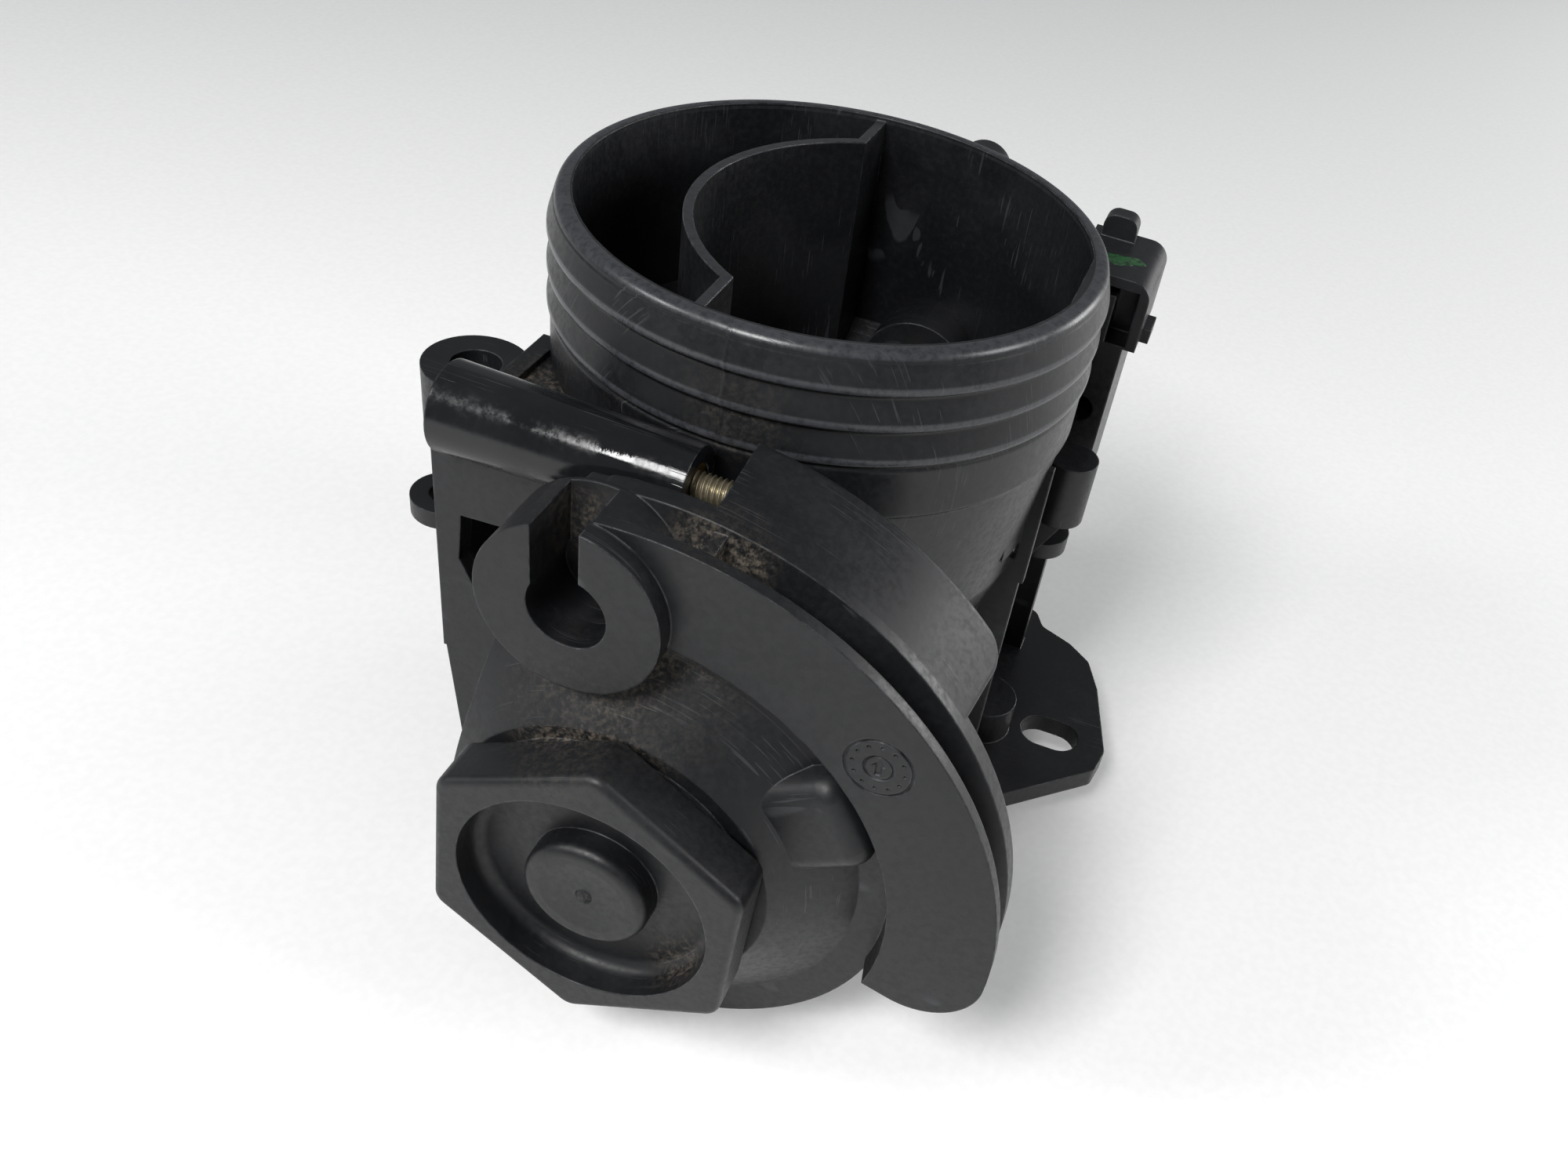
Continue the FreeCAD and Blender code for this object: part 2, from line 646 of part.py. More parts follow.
def return_spring():
    """Torsion coil about the shaft: tangent leg behind the bracket pin, radial leg into the hub core."""
    height = spring_pitch * spring_turns
    wire = spring_wire / 2
    helix = Part.makeHelix(spring_pitch, height, spring_radius)
    section = Part.Wire(Part.makeCircle(wire, Vector(spring_radius, 0, 0), Vector(0, 1, 0)))
    coil = Part.Wire(helix.Edges).makePipeShell([section], True, True)
    tangent = Part.makeCylinder(wire, spring_leg, Vector(spring_radius, 0, 0), Vector(0, -1, 0))
    radial = Part.makeCylinder(wire, spring_radius - 8.0, Vector(spring_radius, 0, height), Vector(-1, 0, 0))
    knee = Part.makeSphere(wire, Vector(spring_radius, 0, height))
    spring = coil.multiFuse([tangent, radial, knee])
    spring.rotate(Vector(0, 0, 0), Vector(1, 0, 0), 90)
    spring.translate(Vector(0, -spring_start, shaft_z))
    return spring


def stop_screw():
    tip = stop_face_x - seat_gap
    start = tip - screw_length
    core = rod_x(stop_y, stop_z, screw_radius - 0.43, start, tip)
    rings = []
    count = int(screw_length / screw_pitch) - 1
    for index in range(count):
        x = start + 0.4 + index * screw_pitch
        rings.append(cone_x(stop_y, stop_z, screw_radius - 0.45, screw_radius, x, x + screw_pitch * 0.45))
        rings.append(cone_x(stop_y, stop_z, screw_radius, screw_radius - 0.45,
                            x + screw_pitch * 0.45, x + screw_pitch * 0.9))
    screw = union([core] + rings)
    drive = box(start - 1, start + 1.2, stop_y - 0.4, stop_y + 0.4, stop_z - 3, stop_z + 3)
    return screw.cut(drive)


def stop_screw_insert():
    right = stop_boss_right - 0.3
    body = rod_x(stop_y, stop_z, insert_radius, right - insert_length + 0.6, right)
    groove = rod_x(stop_y, stop_z, insert_radius + 1, right - 6.2, right - 4.8)
    groove = groove.cut(rod_x(stop_y, stop_z, insert_radius - 0.5, right - 7, right - 4))
    return body.cut(rod_x(stop_y, stop_z, screw_radius + 0.06, right - 20, right + 1)).cut(groove)


def base_gasket():
    low = -gasket_proud
    outer = gasket_radius + gasket_width - press_gap
    ring = rod_z(0, 0, outer, low, gasket_depth - seat_gap)
    return ring.cut(rod_z(0, 0, gasket_radius + press_gap, low - 1, gasket_depth + 1))


def module_outline(y0, y1, inset):
    body = rod_y(0, shaft_z, module_radius - inset, y0, y1)
    arm = box(0, arm_right - inset, y0, y1, arm_low + inset, arm_top - inset)
    return body.fuse(arm)


def sensor_housing():
    back = module_front + module_thickness
    shell = module_outline(module_front, back, 0)
    ears = []
    for x, z in module_screws:
        ears.append(rod_y(x, shaft_z + z, 4.6, module_front, module_front + 3))
        ears.append(box(min(x, 0), max(x, 0), module_front, module_front + 3, shaft_z + z - 3.5, shaft_z + z + 3.5))
    column = box(column_left, column_right, column_front, column_back, column_low, connector_low)
    block = box(connector_left, connector_right, column_front, connector_back, connector_low, connector_top)
    edges = [e for e in block.Edges if e.BoundBox.ZLength < 0.01 and e.BoundBox.ZMin > connector_top - 0.1]
    block = block.makeFillet(3.0, [e for e in edges if e.BoundBox.XMin > connector_right - 1])
    tab = box(30.6, 35.8, connector_back - 3.4, connector_back - 0.4, connector_top - 1, connector_top + 3.6)
    tab_edges = [e for e in tab.Edges if e.BoundBox.YLength > 2.9 and e.BoundBox.ZMin > connector_top + 3]
    tab = tab.makeFillet(1.8, tab_edges)
    foot = box(connector_right - 1, connector_right + 1.4, column_front + 2, column_front + 7, connector_low + 1, connector_low + 3.2)
    housing = union([shell, column, block, tab, foot] + ears)

    wall = module_wall
    cavity = rod_y(0, shaft_z, module_radius - wall, module_front + 2.2, back + 1)
    arm_room = box(0, arm_right - wall, module_front + 2.2, back + 1, arm_low + wall, arm_top - wall)
    pocket = box(connector_left + 2, connector_right - connector_wall, column_front - 1, column_front + 5,
                 connector_low + 0.4, connector_top - connector_wall)
    rib = box(connector_left, 36.4, column_front - 1, column_front + 6, connector_low + 6.6, connector_low + 7.8)
    rib = rib.fuse(box(35.2, 36.4, column_front, column_front + 6, connector_low, connector_low + 7.8))
    socket = box(connector_left + connector_wall, connector_right - connector_wall, connector_back - 9, connector_back + 1,
                 connector_low + connector_wall, connector_top - connector_wall)
    blind = rod_y(35.4, 61.5, 2.2, column_front - 1, column_front + 9)
    for cutter in (cavity, arm_room, pocket.cut(rib), socket, blind):
        housing = housing.cut(cutter)
    housing = housing.cut(rod_y(0, shaft_z, 7.6, module_front - 1, module_front + 4))
    for x, z in module_screws:
        housing = housing.cut(rod_y(x, shaft_z + z, module_screw_radius + 0.2, module_front - 1, back + 1))
    for x in terminal_places():
        housing = housing.cut(box(x - 0.35, x + 0.35, 30, 32, terminal_z - terminal_half - seat_gap,
                                  terminal_z + terminal_half + seat_gap))
    return housing.removeSplitter()


def terminal_places():
    return [31.4, 34.8, 38.2]


def sensor_cover():
    back = module_front + module_thickness
    plate = module_outline(back + seat_gap, back + cover_thickness, 0)
    lip = module_outline(back - 1.2, back + seat_gap, module_wall + 0.15)
    hollow = module_outline(back - 2, back + seat_gap, module_wall + 1.4)
    return plate.fuse(lip.cut(hollow)).removeSplitter()


def sensor_rotor():
    start = module_front + 2.8
    disc = rod_y(0, shaft_z, 10.0, start, start + 2.0)
    hub = rod_y(0, shaft_z, 6.2, module_front + 0.4 + 1.4, start + 3.4)
    hole = rod_y(0, shaft_z, shaft_radius + press_gap, 0, 60)
    hole = hole.cut(box(-8, -shaft_radius + 1.4 - press_gap, 0, 60, shaft_z - 8, shaft_z + 8))
    return disc.fuse(hub).cut(hole).removeSplitter()


def sensor_wiper():
    start = module_front + 2.8 + 2.0 + seat_gap
    arm = box(5.0, 9.6, start, start + 0.3, shaft_z - 1.8, shaft_z + 1.8)
    return arm.cut(rod_y(0, shaft_z, 6.3, start - 1, start + 2))


def sensor_track():
    start = module_front + 2.8 + 2.6
    board = tube_y(0, shaft_z, module_radius - module_wall - 0.2, 7.2, start, start + 1.0)
    return board


def sensor_terminals():
    pins = []
    for x in terminal_places():
        pin = box(x - 0.3, x + 0.3, 30.0 + seat_gap, connector_back - 2.0,
                  terminal_z - terminal_half, terminal_z + terminal_half)
        pins.append(pin)
    return Part.makeCompound(pins)


def sensor_screws():
    screws = []
    seat = module_front + 3 + seat_gap
    for x, offset in module_screws:
        z = shaft_z + offset
        stem = rod_y(x, z, 1.5, module_front - 6, seat + 0.1)
        head = rod_y(x, z, 3.2, seat, seat + 2.4)
        corners = [polar(1.3, 60 * index) for index in range(6)]
        drive = prism_y([(x + dx, z + dz) for dx, dz in corners], seat + 1.0, seat + 3)
        screws.append(stem.fuse(head).cut(drive).removeSplitter())
    return Part.makeCompound(screws)


def sensor_inserts():
    inserts = []
    for x, z in module_screws:
        inserts.append(tube_y(x, shaft_z + z, 2.9, 1.55, 28.4, module_front - 0.6))
    return Part.makeCompound(inserts)


def sensor_seal():
    return tube_y(0, shaft_z, 7.55, 6.3, module_front + 0.1, module_front + 1.6)


def air_probe():
    stem = rod_y(probe_x, probe_z, probe_radius, probe_tip, 42.6)
    head = rod_y(probe_x, probe_z, 7.4, 42.6, 45.6)
    return stem.fuse(head).removeSplitter()


def probe_seal():
    return tube_y(probe_x, probe_z, probe_radius + 1.75, probe_radius + 0.05, 38.1, 40.3)


def main():
    os.makedirs("parts", exist_ok=True)
    front_bush = -front_boss_end + seal_length + 0.5
    rear_bush = rear_boss_end - seal_length - bush_length + 1.0 + seat_gap
    nodes = {
        "throttle_housing": throttle_housing(),
        "throttle_shaft": throttle_shaft(),
        "throttle_plate": throttle_plate(),
        "plate_screws": plate_screws(),
        "cable_quadrant": cable_quadrant(),
        "shaft_bush_front": shaft_bush(front_bush),
        "shaft_bush_rear": shaft_bush(rear_bush),
        "shaft_seal_front": shaft_seal(-front_boss_end + 0.1),
        "shaft_seal_rear": shaft_seal(rear_boss_end - seal_length + 0.2),
        "thrust_washer": thrust_washer(),
        "shaft_clip": shaft_clip(),
        "spring_sleeve": spring_sleeve(),
        "return_spring": return_spring(),
        "stop_screw": stop_screw(),
        "stop_screw_insert": stop_screw_insert(),
        "base_gasket": base_gasket(),
        "sensor_housing": sensor_housing(),
        "sensor_cover": sensor_cover(),
        "sensor_rotor": sensor_rotor(),
        "sensor_wiper": sensor_wiper(),
        "sensor_track": sensor_track(),
        "sensor_terminals": sensor_terminals(),
        "sensor_screws": sensor_screws(),
        "sensor_inserts": sensor_inserts(),
        "sensor_seal": sensor_seal(),
        "air_probe": air_probe(),
        "probe_seal": probe_seal(),
    }
    for name, shape in nodes.items():
        shape.exportStep("parts/" + name + ".step")
        print(name, len(shape.Solids), round(shape.Volume, 1), shape.isValid())


main()
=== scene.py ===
import math

import bmesh
import bpy
import numpy as np
from bpy.props import FloatProperty, FloatVectorProperty, IntProperty, PointerProperty
from mathutils import Matrix, Vector


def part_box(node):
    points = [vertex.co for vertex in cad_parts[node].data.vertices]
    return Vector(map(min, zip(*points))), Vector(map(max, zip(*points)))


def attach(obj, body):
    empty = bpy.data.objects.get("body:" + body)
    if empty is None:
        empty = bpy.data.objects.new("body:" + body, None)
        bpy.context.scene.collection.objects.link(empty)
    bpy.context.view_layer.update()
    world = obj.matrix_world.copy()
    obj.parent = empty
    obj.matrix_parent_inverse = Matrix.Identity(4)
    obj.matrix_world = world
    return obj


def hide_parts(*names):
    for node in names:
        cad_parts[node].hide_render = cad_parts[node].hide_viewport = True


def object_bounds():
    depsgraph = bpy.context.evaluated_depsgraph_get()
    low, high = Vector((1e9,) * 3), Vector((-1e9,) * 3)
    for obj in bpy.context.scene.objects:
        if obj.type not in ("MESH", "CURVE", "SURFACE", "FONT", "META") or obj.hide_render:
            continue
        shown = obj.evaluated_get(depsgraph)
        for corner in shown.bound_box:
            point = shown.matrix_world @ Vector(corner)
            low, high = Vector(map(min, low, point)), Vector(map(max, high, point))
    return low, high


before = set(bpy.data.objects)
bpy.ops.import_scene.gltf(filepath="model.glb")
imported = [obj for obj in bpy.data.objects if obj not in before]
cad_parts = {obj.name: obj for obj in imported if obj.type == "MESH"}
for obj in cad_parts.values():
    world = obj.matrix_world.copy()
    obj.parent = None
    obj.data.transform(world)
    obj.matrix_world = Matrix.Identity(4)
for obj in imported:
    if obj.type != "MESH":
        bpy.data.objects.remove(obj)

bl_info = {
    "name": "Throttle body looks",
    "version": (1, 0, 0),
    "blender": (4, 5, 0),
    "location": "3D View > Sidebar > Throttle",
    "description": "Skins, fittings and finishes round the packed throttle body, with its stage",
    "category": "Object",
}

MM = 0.001
CAD_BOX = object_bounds()

# Heights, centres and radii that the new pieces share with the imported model, in millimetres.
RIM_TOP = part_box("throttle_housing")[1].z / MM
SHAFT_HEIGHT = 29.3
BARB_HEIGHTS = (RIM_TOP - 14.9, RIM_TOP - 10.0, RIM_TOP - 5.1)
BAND_RADIUS = 36.82
BARB_ROOT = 36.25
BARB_CREST = 37.28
SCREW_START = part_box("stop_screw")[0].x / MM
SCREW_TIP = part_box("stop_screw")[1].x / MM
SCREW_CENTRE = (-42.3, 74.7)
HUB_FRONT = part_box("cable_quadrant")[0].y / MM
COVER_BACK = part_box("sensor_cover")[1].y / MM
WELD_ARC = 15.6
WELD_INSET = 1.4

# The camera: place in metres, directions in degrees, lens shift in sensor widths.
CAMERA_PLACE = (0.04954, -0.16886, 0.17232)
CAMERA_AZIMUTH, CAMERA_ELEVATION, CAMERA_ROLL = 9.973, 40.596, 12.125
CAMERA_SHIFT = (-0.0737, 0.0331)


def hex_linear(code):
    """Linear red, green and blue of an sRGB hex colour."""
    values = [int(code[i:i + 2], 16) / 255 for i in (0, 2, 4)]
    return tuple(v / 12.92 if v <= 0.04045 else ((v + 0.055) / 1.055) ** 2.4 for v in values)


def colour(name, description, code):
    """A colour setting with its default as a hex code."""
    return FloatVectorProperty(name=name, description=description, subtype="COLOR",
                               size=3, min=0, max=1, default=hex_linear(code))


class ThrottleColours(bpy.types.PropertyGroup):
    """Colours of the finishes."""
    nylon: colour("Nylon", "Moulded glass-filled nylon", "101113")
    nylon_bloom: colour("Nylon bloom", "Greyer patches where the nylon has weathered", "17181A")
    # Pale tone of worn edges and scratches; the same tone also paints highlight lines on the barb crests, the
    # rim and the arc wall's top.
    nylon_wear_and_highlight: colour("Nylon edge", "Nylon polished pale along handled edges", "55575B")
    dust: colour("Dust", "Ochre road dust in the corners", "83786A")
    paint: colour("Paint dab", "Inspector's green paint on the plug housing", "1F4A26")
    zinc: colour("Yellow zinc", "Yellow-passivated zinc on the stop screw", "9A927C")
    steel: colour("Steel", "Turned and sprung steel", "A7A8AA")
    brass: colour("Brass", "Rolled brass plate and inserts", "B08D4A")
    bronze: colour("Bronze", "Sintered bronze bushes", "8C6238")
    rubber: colour("Rubber", "Nitrile rubber of the lip seals", "151515")
    silicone: colour("Silicone", "Moulded silicone base seal", "1F4D3A")
    ceramic: colour("Ceramic", "Resistor board of the position sensor", "2A3A2C")
    floor: colour("Floor", "Pale matt floor", "F1F1F0")


class ThrottleSizes(bpy.types.PropertyGroup):
    """Sizes of the added pieces."""
    seam_height: FloatProperty(name="Seam height", description="Height of the mould seam down the neck",
                               default=0.12 * MM, min=0, max=0.5 * MM, unit="LENGTH", precision=5)
    seam_width: FloatProperty(name="Seam width", description="Half-width of the mould seam",
                              default=0.20 * MM, min=0.05 * MM, max=1 * MM, unit="LENGTH", precision=5)
    skin_proud: FloatProperty(name="Skin stand-off", description="How far the skin stands off the neck wall",
                              default=0.06 * MM, min=0.02 * MM, max=0.3 * MM, unit="LENGTH", precision=5)
    thread_pitch: FloatProperty(name="Thread pitch", description="Pitch of the M4 stop screw",
                                default=0.7 * MM, min=0.3 * MM, max=1.5 * MM, unit="LENGTH", precision=5)
    thread_depth: FloatProperty(name="Thread depth", description="Crest to root of the thread",
                                default=0.40 * MM, min=0.1 * MM, max=0.6 * MM, unit="LENGTH", precision=5)
    weld_radius: FloatProperty(name="Weld bead", description="Radius of the weld bead on the sensor cover",
                               default=0.45 * MM, min=0.1 * MM, max=1 * MM, unit="LENGTH", precision=5)
    paint_radius: FloatProperty(name="Paint radius", description="Mean radius of the paint dab",
                                default=2.3 * MM, min=0.5 * MM, max=5 * MM, unit="LENGTH", precision=5)
    neck_segments: IntProperty(name="Neck segments", description="Steps round the neck skin",
                               default=300, min=64, max=480)


class ThrottleStage(bpy.types.PropertyGroup):
    """Lights and lens of the stage."""
    key: FloatProperty(name="Key light", description="Power of the main overhead light",
                       default=3.2, min=0, unit="POWER")
    fill: FloatProperty(name="Fill light", description="Power of the light from behind",
                        default=3.8, min=0, unit="POWER")
    side: FloatProperty(name="Side light", description="Power of the light from the left",
                        default=1.3, min=0, unit="POWER")
    right: FloatProperty(name="Right light", description="Power of the light from the right",
                         default=3.0, min=0, unit="POWER")
    sky: FloatProperty(name="Sky", description="Strength of the even light from all round",
                       default=0.24, min=0)
    lens: FloatProperty(name="Lens", description="Focal length on a 36 mm wide sensor", default=32.33, min=10)


# ---------------------------------------------------------------- mesh helpers

def mesh_object(name, points, faces, material):
    """A closed, smooth-shaded mesh with its place in its vertices, faces turned outwards."""
    mesh = bpy.data.meshes.new(name)
    mesh.from_pydata(points.reshape(-1, 3), [], faces)
    mesh.validate()
    work = bmesh.new()
    work.from_mesh(mesh)
    bmesh.ops.remove_doubles(work, verts=work.verts, dist=1e-7)
    bmesh.ops.recalc_face_normals(work, faces=work.faces)
    work.to_mesh(mesh)
    work.free()
    mesh.polygons.foreach_set("use_smooth", np.ones(len(mesh.polygons), dtype=bool))
    mesh.materials.append(material)
    piece = bpy.data.objects.new(name, mesh)
    bpy.context.scene.collection.objects.link(piece)
    return piece


def grid_faces(rows, cols, close_rows=False, close_cols=False):
    """Quads between neighbouring rows and columns of a grid, joined end to end where it closes.

    A tube whose first and last rows are shrunk to a point closes there when its doubles are merged.
    """
    index = np.arange(rows * cols).reshape(rows, cols)
    if close_rows:
        index = np.vstack([index, index[:1]])
    if close_cols:
        index = np.hstack([index, index[:, :1]])
    quads = np.stack([index[:-1, :-1], index[:-1, 1:], index[1:, 1:], index[1:, :-1]], axis=-1)
    return quads.reshape(-1, 4).tolist()


def smoothed(values, width):
    """Values averaged over their neighbours with a bell-shaped weight of that many samples."""
    reach = int(3 * width) + 1
    weights = np.exp(-0.5 * (np.arange(-reach, reach + 1) / width) ** 2)
    padded = np.pad(values, reach, mode="edge")
    return np.convolve(padded, weights / weights.sum(), mode="valid")


# ------------------------------------------------------------ material helpers

MATH, RANGE, MIX = "ShaderNodeMath", "ShaderNodeMapRange", "ShaderNodeMix"
SOFT = {"interpolation_type": "SMOOTHSTEP"}
COLOUR = {"data_type": "RGBA"}


def add(tree, kind, inputs=(), out=0, **settings):
    """One node with its settings; gives back its output number out.

    Inputs gives each socket, by number or name, a constant or another node's output. A range takes its
    value, low, high, new low and new high in sockets 0 to 4; a mix takes its mask in 0 and its two
    colours in 6 and 7, and gives the blend in output 2.
    """
    node = tree.nodes.new(kind)
    for key, value in settings.items():
        setattr(node, key, value)
    for socket, value in dict(inputs).items():
        if isinstance(value, bpy.types.NodeSocket):
            tree.links.new(value, node.inputs[socket])
        else:
            node.inputs[socket].default_value = value
    return node.outputs[out] if len(node.outputs) else None


def rgba(colour_value, share=1.0):
    """A colour, darkened to a share of itself, with the fourth channel that a socket wants."""
    return (*(share * v for v in colour_value), 1)


def new_material(name):
    """A material, its empty tree and the object's own coordinates in it."""
    material = bpy.data.materials.new(name)
    material.use_nodes = True
    tree = material.node_tree
    tree.nodes.clear()
    return material, tree, add(tree, "ShaderNodeTexCoord", out=3)


def close_material(tree, **sockets):
    """Principled shader and output; underscores in the socket names stand for spaces."""
    inputs = {key.replace("_", " "): value for key, value in sockets.items()}
    shader = add(tree, "ShaderNodeBsdfPrincipled", inputs)
    add(tree, "ShaderNodeOutputMaterial", {"Surface": shader})


def grain(tree, place, size_mm, detail=2.0, rough=0.5):
    """Noise whose lumps are about size_mm across."""
    return add(tree, "ShaderNodeTexNoise",
               {"Vector": place, "Scale": 1 / (size_mm * MM), "Detail": detail, "Roughness": rough})


def patches_of(tree, place, size_mm, detail, low, high, rough=0.5, most=1.0):
    """Grain cut to soft patches: 0 where it is under low, most where it is over high."""
    lumps = grain(tree, place, size_mm, detail, rough)
    return add(tree, RANGE, {0: lumps, 1: low, 2: high, 4: most}, **SOFT)


def streaks(tree, place, turn, length_mm, width_mm):
    """Noise drawn out along one direction, for scratches and drawing marks."""
    scale = (1 / (length_mm * MM), 1 / (width_mm * MM), 1 / (length_mm * 0.5 * MM))
    turned = add(tree, "ShaderNodeMapping", {"Vector": place, "Rotation": turn, "Scale": scale})
    return add(tree, "ShaderNodeTexNoise", {"Vector": turned, "Scale": 1.0, "Detail": 1.0})


def near(tree, place, centre_mm, inner_mm, outer_mm):
    """1 within inner_mm of a point, falling to 0 at outer_mm."""
    centre = tuple(v * MM for v in centre_mm)
    apart = add(tree, "ShaderNodeVectorMath", {0: place, 1: centre}, 1, operation="DISTANCE")
    return add(tree, RANGE, {0: apart, 1: inner_mm * MM, 2: outer_mm * MM, 3: 1.0, 4: 0.0}, **SOFT)


def level_band(tree, place, height_mm, half_mm):
    """1 within half_mm of a height, falling to 0 at twice that."""
    height = add(tree, "ShaderNodeSeparateXYZ", {0: place}, 2)
    above = add(tree, MATH, {0: height, 1: height_mm * MM}, operation="SUBTRACT")
    off = add(tree, MATH, {0: above}, operation="ABSOLUTE")
    return add(tree, RANGE, {0: off, 1: half_mm * MM, 2: 2 * half_mm * MM, 3: 1.0, 4: 0.0}, **SOFT)


def edges(tree, radius_mm):
    """(normal rounded over radius_mm, mask that is 1 on a worn outer or inner edge)."""
    rounded = add(tree, "ShaderNodeBevel", {"Radius": radius_mm * MM}, samples=6)
    flat = add(tree, "ShaderNodeNewGeometry", out=1)
    along = add(tree, "ShaderNodeVectorMath", {0: rounded, 1: flat}, 1, operation="DOT_PRODUCT")
    return rounded, add(tree, RANGE, {0: along, 1: 0.995, 2: 0.80}, **SOFT)


# -------------------------------------------------------------------- finishes

def moulded_nylon(name, colours, roughness, dust_spots=(), gloss_spots=(), painted_highlight_bands=()):
    """PA66 with glass fibre, injection moulded.

    The fibre leaves a satin skin with a faint grain. Handling wears its edges pale and draws fine
    scratches, weather greys it in patches, and grey-brown dust sits where it was never wiped.
    dust_spots and gloss_spots are (centre, full radius, vanishing radius), painted_highlight_bands are
    (height, half-width, strength) of pale lines painted in as highlights, with the roughness lowered there,
    all in millimetres.
    """
    material, tree, place = new_material(name)
    # pale is the worn-edge tone; it is also the colour of the painted highlight lines further down.
    nylon, bloom, pale = rgba(colours.nylon), rgba(colours.nylon_bloom), rgba(colours.nylon_wear_and_highlight)
    weather = patches_of(tree, place, 14.0, 3.0, 0.42, 0.66)
    speckle = grain(tree, place, 0.9, 3.0, 0.65)
    fleck = add(tree, RANGE, {0: speckle, 1: 0.56, 2: 0.78, 4: 0.35}, **SOFT)
    tone = add(tree, MIX, {0: weather, 6: nylon, 7: bloom}, 2, **COLOUR)
    tone = add(tree, MIX, {0: fleck, 6: tone, 7: bloom}, 2, **COLOUR)

    rounded, edge = edges(tree, 0.35)
    rubbed = patches_of(tree, place, 2.6, 4.0, 0.40, 0.68, rough=0.7)
    rubbed = add(tree, MATH, {0: rubbed, 1: 0.75}, operation="MULTIPLY")
    wear = add(tree, MATH, {0: edge, 1: rubbed}, operation="MULTIPLY")
    tone = add(tree, MIX, {0: wear, 6: tone, 7: pale}, 2, **COLOUR)

    long_marks = streaks(tree, place, (0.3, 0.5, 0.9), 16.0, 0.22)
    short_marks = streaks(tree, place, (1.1, 0.2, -0.6), 11.0, 0.18)
    first = add(tree, RANGE, {0: long_marks, 1: 0.665, 2: 0.70}, **SOFT)
    second = add(tree, RANGE, {0: short_marks, 1: 0.675, 2: 0.71}, **SOFT)
    either = add(tree, MATH, {0: first, 1: second}, operation="ADD", use_clamp=True)
    handled = patches_of(tree, place, 9.0, 1.0, 0.50, 0.62)
    scratches = add(tree, MATH, {0: either, 1: handled}, operation="MULTIPLY")
    faint = add(tree, MATH, {0: scratches, 1: 0.22}, operation="MULTIPLY")
    tone = add(tree, MIX, {0: faint, 6: tone, 7: pale}, 2, **COLOUR)

    low, high = roughness - 0.07, roughness + 0.07
    matt = add(tree, RANGE, {0: speckle, 1: 0.3, 2: 0.75, 3: low, 4: high}, **SOFT)
    matt = add(tree, MATH, {0: weather, 1: 0.06, 2: matt}, operation="MULTIPLY_ADD")
    for spot in gloss_spots:
        polished = near(tree, place, *spot)
        matt = add(tree, MATH, {0: polished, 1: -0.27, 2: matt}, operation="MULTIPLY_ADD")
    matt = add(tree, MATH, {0: wear, 1: -0.10, 2: matt}, operation="MULTIPLY_ADD")

    if dust_spots:
        crumbs = patches_of(tree, place, 0.8, 6.0, 0.40, 0.72, rough=0.72)
        cavity = add(tree, "ShaderNodeAmbientOcclusion", {"Distance": 6 * MM}, 1, samples=6, only_local=True)
        sheltered = add(tree, RANGE, {0: cavity, 1: 0.92, 2: 0.45, 3: 0.12, 4: 1.0}, **SOFT)
        dusty = near(tree, place, *dust_spots[0])
        for spot in dust_spots[1:]:
            here = near(tree, place, *spot)
            dusty = add(tree, MATH, {0: dusty, 1: here}, operation="ADD", use_clamp=True)
        dusty = add(tree, MATH, {0: dusty, 1: crumbs}, operation="MULTIPLY")
        sheltered = add(tree, MATH, {0: sheltered, 1: 0.62}, operation="MULTIPLY")
        dusty = add(tree, MATH, {0: dusty, 1: sheltered}, operation="MULTIPLY")
        tone = add(tree, MIX, {0: dusty, 6: tone, 7: rgba(colours.dust)}, 2, **COLOUR)
        matt = add(tree, MATH, {0: dusty, 1: 0.35, 2: matt}, operation="MULTIPLY_ADD", use_clamp=True)

    # Painted highlight: pale lines at the given heights stand in for highlights on crests and edges; the
    # roughness there is lowered too.
    for height_mm, half_mm, strength in painted_highlight_bands:
        broken = add(tree, RANGE, {0: speckle, 1: 0.25, 2: 0.6, 3: 0.4, 4: 1.0}, **SOFT)
        level = level_band(tree, place, height_mm, half_mm)
        band = add(tree, MATH, {0: level, 1: broken}, operation="MULTIPLY")
        shown = add(tree, MATH, {0: band, 1: strength}, operation="MULTIPLY")
        tone = add(tree, MIX, {0: shown, 6: tone, 7: pale}, 2, **COLOUR)
        matt = add(tree, MATH, {0: band, 1: -0.10, 2: matt}, operation="MULTIPLY_ADD", use_clamp=True)

    relief = add(tree, MATH, {0: speckle, 1: 0.5}, operation="MULTIPLY")
    relief = add(tree, MATH, {0: scratches, 1: -0.6, 2: relief}, operation="MULTIPLY_ADD")
    bump = add(tree, "ShaderNodeBump",
               {"Strength": 0.35, "Distance": 0.06 * MM, "Height": relief, "Normal": rounded})
    close_material(tree, Base_Color=tone, Roughness=matt, Normal=bump, IOR=1.43)
    return material


